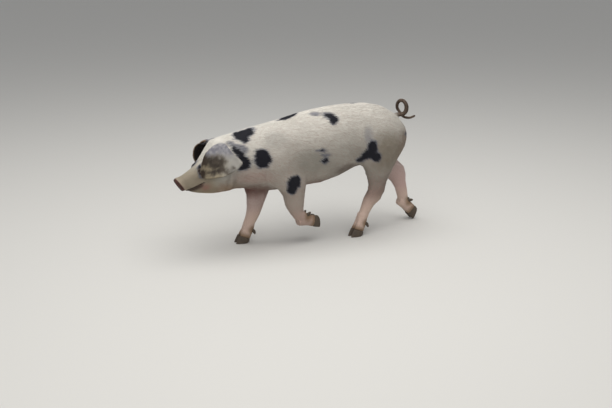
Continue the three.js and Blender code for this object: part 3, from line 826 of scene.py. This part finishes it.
# The coat: short bristly hair that lies flat along the body, drawn as slim closed tufts with the
# root in the skin. Each follows the lie of the coat: from the nose over the back to the tail, down
# the legs, and from root to tip on the ears and tail.
rng = np.random.default_rng(11)
LIE_OF = {"trunk": (0, 1, -0.16), "neck": (0, 1, -0.12), "head": (0, 1, 0.45), "snout": (0, 1, 0.45)}


def middle(name):
    return places(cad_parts[name].data).mean(0)


def unit(vectors, least=1e-9):
    return vectors / np.maximum(np.linalg.norm(vectors, axis=1, keepdims=True), least)


node_lie = np.zeros((len(flesh), 3))
for index, name in enumerate(flesh):
    region = REGIONS[node_region[index]]
    if region in LIE_OF:
        node_lie[index] = LIE_OF[region]
    elif region == "ear":
        node_lie[index] = (0.25 if "left" in name else -0.25, -0.57, -0.78)
    elif region in ("upper", "lower", "foot"):
        leg = name.rsplit("_", 1)[0]
        hoof = (middle(leg + "_hoof_left") + middle(leg + "_hoof_right")) / 2
        chain = [middle(leg + "_upper"), middle(leg + "_lower"), middle(leg + "_foot"), hoof]
        link = ("upper", "lower", "foot").index(region)
        node_lie[index] = chain[link + 1] - chain[link]
lie = unit(node_lie)[nodes_at]
# along the tail the lie climbs the distance from the rump, counted from vertex to vertex
tail_at = node_region[nodes_at] == TAIL
hops = np.where(tail_at, 1e3, 0.0)
one, other = ends[tail_at[ends[:, 0]] | tail_at[ends[:, 1]]].T
lengths = np.linalg.norm(at[one] - at[other], axis=1)
for _ in range(400):
    before = hops.copy()
    np.minimum.at(hops, one, before[other] + lengths)
    np.minimum.at(hops, other, before[one] + lengths)
    if np.array_equal(before, hops):
        break
climb = np.zeros_like(at)
rise = (hops[other] - hops[one])[:, None] * (at[other] - at[one])
np.add.at(climb, one, rise)
np.add.at(climb, other, rise)
lie = np.where(tail_at[:, None], unit(climb, 1e-12), lie)
lie = relax(lie, ends, 0.7, 30)
lie = lie - out * (lie * out).sum(1, keepdims=True)
parting = 1 - np.clip(np.linalg.norm(lie, axis=1), 0, 1)  # where hair runs off both ways
lie = unit(lie)

# length, width and lift of a tuft, and tufts on a square centimetre
TUFTS = dict(
    trunk=(0.0220, 0.00120, 0.0016, 15.0),
    neck=(0.0210, 0.00120, 0.0016, 15.0),
    head=(0.0085, 0.00080, 0.0009, 32.0),
    snout=(0.0036, 0.00055, 0.0005, 40.0),
    ear=(0.0085, 0.00080, 0.0009, 26.0),
    tail=(0.0110, 0.00100, 0.0018, 32.0),
    upper=(0.0170, 0.00115, 0.0013, 16.0),
    lower=(0.0100, 0.00095, 0.0009, 16.0),
    foot=(0.0060, 0.00075, 0.0006, 16.0),
)
FREE_TIP = 0.3  # how much of its way off a bend a tuft keeps
ROOT_SUNK, MIDDLE_ALONG, MIDDLE_LIFT = 0.0004, 0.40, 0.75
CLUMPING = ((310.0, -190.0), (170.0, 90.0), (260.0, 330.0))  # two waves along x, y and z
tuft = share @ per_region(TUFTS)
# from the brow back to the poll and the jowls the hair grows towards the length of the neck's
crown = share[:, HEAD] * ramp(-0.520, -0.440, at[:, 1])
tuft[:, :3] += crown[:, None] * (np.array(TUFTS["neck"][:3]) - tuft[:, :3])
tuft[:, 0] *= 1 - 0.45 * parting
triangles = gather(skin.data.polygons, "vertices", 3, np.int32)
skin_uv = gather(skin.data.uv_layers["OFBake"].data, "uv", 2).reshape(-1, 3, 2)
corners = at[triangles]
area = np.cross(corners[:, 1] - corners[:, 0], corners[:, 2] - corners[:, 0])
area = np.linalg.norm(area, axis=1) / 2
growth = tuft[triangles, 3].mean(1) * 1e4 * area
growth *= 1 - np.clip(bare[triangles].mean(1) * 2.2, 0, 1)
growth *= 1 - 0.9 * lips[triangles].mean(1)
growth *= 1 + 1.2 * ramp(0.25, 0.75, parting[triangles].mean(1))
centre = corners.mean(1)
skin_tree = tree_of(skin.data)

PATCH = 0.003
# a tuft: its root, the left, right and top of its middle, and its tip, and their places on its patch
PATCH_SPOTS = np.array(((0.5, 0), (0, 0.5), (1, 0.5), (0.5, 0.35), (0.5, 1)))
TUFT_FACES = np.array(((2, 3, 4), (3, 1, 4), (1, 2, 4), (3, 2, 0), (1, 3, 0), (2, 1, 0)))

hair_material, build, shader, marks, root_at = marked_material("Bristle")
build.feed(shader, {
    "Base Color": build.mix(build.carried("shade"), marks["Hair"], marks["Hide"]),
    "Roughness": 0.62,
    "Sheen Weight": 0.04,
    "Specular IOR Level": 0.22,
})


def laid(points, lift):
    """The points brought onto the skin and raised by the lift, and the skin's normals there."""
    found = [skin_tree.find_nearest(point) for point in points.tolist()]
    under = np.array([tuple(spot[0]) for spot in found])
    up = unit(out[triangles[[spot[2] for spot in found]]].mean(1))
    over = ((points - under) * up).sum(1)
    return under + up * (lift + FREE_TIP * np.maximum(over - lift, 0))[:, None], up


def grow(name, chosen):
    """One piece of the coat on the chosen triangles of the skin."""
    weight = np.where(chosen, growth, 0.0)
    count = int(weight.sum() * (1.0))
    sown = (np.arange(count) + rng.random(count)) / count * weight.sum()
    picks = np.clip(np.searchsorted(np.cumsum(weight), sown), 0, len(weight) - 1)
    u, v = rng.random(count), rng.random(count)
    flip = u + v > 1
    u, v = np.where(flip, 1 - u, u), np.where(flip, 1 - v, v)
    mix = np.stack((1 - u - v, u, v), 1)

    def here(values):
        return (values[triangles[picks]] * mix[:, :, None]).sum(1)

    root, up, way, size = here(at), unit(here(out)), here(lie), here(tuft)
    # hairs clump: neighbours lean the same way
    clump = np.sin(root @ np.array(CLUMPING)).sum(1)
    turn = np.radians(rng.normal(0, 5, count) + 3 * clump)
    side = np.cross(up, way)
    way = way * np.cos(turn)[:, None] + side * np.sin(turn)[:, None]
    way = unit(way - up * (way * up).sum(1, keepdims=True))
    side = np.cross(up, way)
    length = (size[:, 0] * rng.uniform(0.7, 1.25, count))[:, None]
    width = (size[:, 1] * rng.uniform(0.7, 1.3, count))[:, None]
    lift = size[:, 2] * rng.uniform(0.55, 1.15, count) * (1 + 0.15 * clump)
    middle_at, middle_up = laid(root + way * length * MIDDLE_ALONG, lift * MIDDLE_LIFT)
    tip_at, tip_up = laid(root + way * length, lift)
    points = (
        root - up * (ROOT_SUNK + 0.25 * width), middle_at - side * width / 2,
        middle_at + side * width / 2, middle_at + middle_up * width * 0.4, tip_at)
    points = np.stack(points, 1).reshape(-1, 3)
    faces = (TUFT_FACES[None] + 5 * np.arange(count)[:, None, None]).reshape(-1, 3)
    mesh = bpy.data.meshes.new(name)
    mesh.vertices.add(len(points))
    mesh.vertices.foreach_set("co", points.astype(np.float32).ravel())
    mesh.loops.add(faces.size)
    mesh.loops.foreach_set("vertex_index", faces.astype(np.int32).ravel())
    mesh.polygons.add(len(faces))
    mesh.polygons.foreach_set("loop_start", np.arange(0, faces.size, 3, dtype=np.int32))
    mesh.update(calc_edges=True)
    smooth(mesh)
    # the tufts shade nearly as the skin does, so that the coat looks sleek
    rounded = (up, middle_up - 0.5 * side, middle_up + 0.5 * side, middle_up, tip_up + 0.2 * way)
    rounded = unit(np.stack(rounded, 1).reshape(-1, 3))
    mesh.normals_split_custom_set_from_vertices(rounded.astype(np.float32))
    for key, columns in skin_values.items():
        carry(mesh, key, np.repeat(here(np.stack(columns, 1)), 5, axis=0).T)
    layer = mesh.attributes.new("shade", "FLOAT", "POINT")
    own = np.clip(rng.normal(0.16, 0.14, count), 0, 0.7)
    layer.data.foreach_set("value", np.repeat(own, 5).astype(np.float32))
    base_uv = np.clip((skin_uv[picks] * mix[:, :, None]).sum(1), PATCH, 1 - PATCH)
    patch = base_uv[:, None, :] + (PATCH_SPOTS[None] - 0.5) * PATCH
    spots = patch[:, TUFT_FACES.ravel(), :].reshape(-1, 2)
    mesh.uv_layers.new(name="OFBake").data.foreach_set("uv", spots.astype(np.float32).ravel())
    mesh.materials.append(hair_material)
    coat = piece(name, mesh)
    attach(coat, "root")


def mostly(*regions):
    return share[triangles][:, :, regions].sum(2).mean(1) > 0.5


is_ear, is_tail, is_low = mostly(EAR), mostly(TAIL), mostly(LOWER, FOOT)
plain = ~(is_ear | is_tail | is_low)
left, y = centre[:, 0] > 0, centre[:, 1]
grow("coat_ears", is_ear)
grow("coat_tail", is_tail)
grow("coat_forelegs", is_low & (y < 0.05))
grow("coat_hindlegs", is_low & (y >= 0.05))
grow("coat_head", plain & (y < -0.42))
grow("coat_neck", plain & (y >= -0.42) & (y < -0.22))
for label, half in (("left", left), ("right", ~left)):
    for name, start, end in (("shoulder", -0.22, 0.0), ("flank", 0.0, 0.22), ("haunch", 0.22, 1.0)):
        grow(f"coat_{name}_{label}", plain & half & (y >= start) & (y < end))

# The eyes: wet balls, nearly all dark brown iris with a black pupil, in the sockets under the lids.
# Each is a sphere whose cornea is drawn out a little in front, turned to look out and ahead.
EYE_SEGMENTS, EYE_RINGS = 48, 32
CORNEA_FROM, CORNEA_RISE = 0.72, 0.0009  # the first as a share of the radius
PUPIL_EDGE, IRIS_EDGE = (13.0, 17.0), (36.0, 42.0)  # degrees off the middle of the gaze
eye_material, build, shader = new_material("Eye")
angle = build.carried("gaze")
fibre = build.noise(build.add("ShaderNodeTexCoord").outputs["Object"], 900.0, 3.0)["Fac"]
iris = build.mix(fibre, rgb(0.050, 0.022, 0.010), rgb(0.018, 0.008, 0.005))
colour = build.mix(build.step(angle, *PUPIL_EDGE), rgb(0.003, 0.003, 0.003), iris)
colour = build.mix(build.step(angle, *IRIS_EDGE), colour, rgb(0.30, 0.22, 0.19))
wet = {"Roughness": 0.08, "Coat Weight": 1.0, "Coat Roughness": 0.03}
build.feed(shader, {"Base Color": colour, **wet})
for side, name in ((1, "eye_left"), (-1, "eye_right")):
    form = bmesh.new()
    bmesh.ops.create_uvsphere(form, u_segments=EYE_SEGMENTS, v_segments=EYE_RINGS, radius=EYE_RADIUS)
    for vertex in form.verts:
        reach = max(0.0, (vertex.co.z / EYE_RADIUS - CORNEA_FROM) / (1 - CORNEA_FROM))
        vertex.co.z += CORNEA_RISE * reach
    axis = Vector(eye_axes(side)[0])
    turn = Vector((0, 0, 1)).rotation_difference(axis).to_matrix().to_4x4()
    turn.translation = Vector(eye_centre(side))
    bmesh.ops.transform(form, matrix=turn, verts=form.verts)
    mesh = mesh_of(form, name)
    ball = places(mesh) - eye_centre(side)
    gaze = np.degrees(np.arccos(np.clip(ball @ np.array(axis) / np.linalg.norm(ball, axis=1), -1, 1)))
    mesh.attributes.new("gaze", "FLOAT", "POINT").data.foreach_set("value", gaze.astype(np.float32))
    smooth(mesh)
    mesh.materials.append(eye_material)
    eye = piece(name + "_ball", mesh)
    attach(eye, "root")
    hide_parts(name)

# The lashes: a row of pale bristles on each upper lid. Each is a slim closed spike with its root in
# the edge of the lid that curves out over the ball.
LASHES, ROW_HALF, LID_EDGE, LASH_THICK = 26, 44, 0.0016, 0.00017
form = bmesh.new()
for side in (1, -1):
    axis, slit, upward = (Vector(way) for way in eye_axes(side))
    for turn in range(LASHES):
        along = math.radians(-ROW_HALF + 2 * ROW_HALF * (turn + rng.uniform(-0.3, 0.3)) / (LASHES - 1))
        over = math.radians(29) * math.sqrt(max(0.0, 1 - (along / math.radians(50)) ** 2))
        ray = (axis + slit * math.tan(along) + upward * math.tan(over)).normalized()
        foot = Vector(eye_centre(side)) + ray * EYE_RADIUS
        length = rng.uniform(0.0050, 0.0085)
        way = (ray + slit * (0.5 * along + rng.uniform(-0.12, 0.12))).normalized()
        bend = foot + way * (LID_EDGE + 0.5 * length)
        tip = foot + way * (LID_EDGE + 0.85 * length) + upward * 0.30 * length
        tip -= Vector((0, 0, 0.10 * length))
        sides = (slit * LASH_THICK, upward * LASH_THICK, -slit * LASH_THICK)
        ends_at = ((foot, 1.0), (bend, 0.8))
        ring = [form.verts.new(spot + push * size) for spot, size in ends_at for push in sides]
        point = form.verts.new(tip)
        for k in range(3):
            after = (k + 1) % 3
            form.faces.new((ring[k], ring[after], ring[3 + after], ring[3 + k]))
            form.faces.new((ring[3 + k], ring[3 + after], point))
        form.faces.new((ring[2], ring[1], ring[0]))
bmesh.ops.recalc_face_normals(form, faces=form.faces)
lashes = piece("lashes", mesh_of(form, "lashes"))
lash_material, build, shader = new_material("Lash")
build.feed(shader, {"Base Color": rgb(0.46, 0.38, 0.29), "Roughness": 0.5})
lashes.data.materials.append(lash_material)
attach(lashes, "root")

# The hooves and dewclaws: two horn claws on each foot and two small ones behind the pastern, dull
# grey-brown, with growth rings and worn edges. The solids' copies are closed and rounded over.
HORN_VOXEL = 0.0011
HORN_FAIRING = 10  # rounds
horn_material, build, shader = new_material("Horn")
where = build.add("ShaderNodeTexCoord").outputs["Object"]
stain = build.noise(where, 70.0, 4.0, 0.6)["Fac"]
rings = {"Vector": where, "Scale": 90.0, "Distortion": 7.0, "Detail": 3.0}
rings = build.add("ShaderNodeTexWave", rings, bands_direction="Z").outputs["Fac"]
colour = build.mix(stain, rgb(0.022, 0.017, 0.013), rgb(0.11, 0.080, 0.055))
build.feed(shader, {
    "Base Color": build.mix(build.times(rings, 0.16), colour, rgb(0.17, 0.125, 0.085)),
    "Roughness": build.spread(stain, 0.5, 0.85),
    "Normal": build.bump(build.math("ADD", build.times(rings, 0.25), stain), 0.5, 0.0006),
})
for leg in ("foreleg_left", "foreleg_right", "hindleg_left", "hindleg_right"):
    claws = [f"{leg}_{claw}_{side}" for claw in ("hoof", "dewclaw") for side in ("left", "right")]
    horn = piece(leg + "_claws", closed_copy(claws, 0.0))
    remesh(horn, HORN_VOXEL)
    claw_at = places(horn.data)
    sole = claw_at[:, 2].min()
    claw_at = fair(claw_at, edge_ends(horn.data), HORN_FAIRING)
    claw_at[:, 2] = np.maximum(claw_at[:, 2], sole)
    set_places(horn.data, claw_at)
    smooth(horn.data)
    horn.data.materials.clear()
    horn.data.materials.append(horn_material)
    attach(horn, "root")
    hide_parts(*claws)

# The floor and the light: one wide, pale, matt sheet of concrete, drawn as a flat grid, under a soft
# overcast. The sky is a pale world with a large lamp overhead and a small one out to the left.
FLOOR_HALF, OVERCAST = 40.0, 0.44
form = bmesh.new()
bmesh.ops.create_grid(form, x_segments=8, y_segments=8, size=FLOOR_HALF)
floor = piece("floor", mesh_of(form, "floor"))
floor_material, build, shader = new_material("Floor")
build.feed(shader, {"Base Color": rgb(0.64, 0.63, 0.60), "Roughness": 0.9})
floor.data.materials.append(floor_material)
floor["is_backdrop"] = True

world = bpy.data.worlds.new("overcast")
world.use_nodes = True
sky = Nodes(world.node_tree)
sky.feed(world.node_tree.nodes["Background"], {"Color": rgb(0.89, 0.9, 0.92), "Strength": OVERCAST})
bpy.context.scene.world = world
bpy.context.scene.view_settings.view_transform = "Standard"


LIGHT_AIM = Vector((0.0, 0.0, 0.3))


def softbox(name, at, size, watts, colour):
    lamp = bpy.data.lights.new(name, "AREA")
    lamp.size = size
    lamp.energy = watts
    lamp.color = colour
    obj = bpy.data.objects.new(name, lamp)
    obj.location = at
    obj.rotation_euler = (LIGHT_AIM - Vector(at)).to_track_quat("-Z", "Y").to_euler()
    bpy.context.scene.collection.objects.link(obj)


softbox("sky", (0.5, -0.1, 3.4), 4.0, 118, (1.0, 0.985, 0.96))
softbox("side", (3.2, -2.0, 2.2), 2.0, 24, (1.0, 0.98, 0.95))

# the camera stands at eye height, 4 m to the left of the pig and ahead of it
CAMERA_AT = (4.1213, -1.9261, 1.5)
CAMERA_RIGHT = Vector((0.42366, 0.90582, 0.0))
CAMERA_UP = Vector((-0.25573, 0.11961, 0.95932))
lens = bpy.data.cameras.new("camera")
lens.sensor_width = 36.0
lens.lens = 61.76
lens.clip_end = 200.0
camera = bpy.data.objects.new("camera", lens)
back = CAMERA_RIGHT.cross(CAMERA_UP)
turn = Matrix((CAMERA_RIGHT, CAMERA_UP, back)).transposed()
camera.matrix_world = Matrix.Translation(CAMERA_AT) @ turn.to_4x4()
bpy.context.scene.collection.objects.link(camera)
bpy.context.scene.camera = camera

boxes = {"cad": cad_box, "visual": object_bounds()}
{key: [list(map(float, corner)) for corner in box] for key, box in boxes.items()}
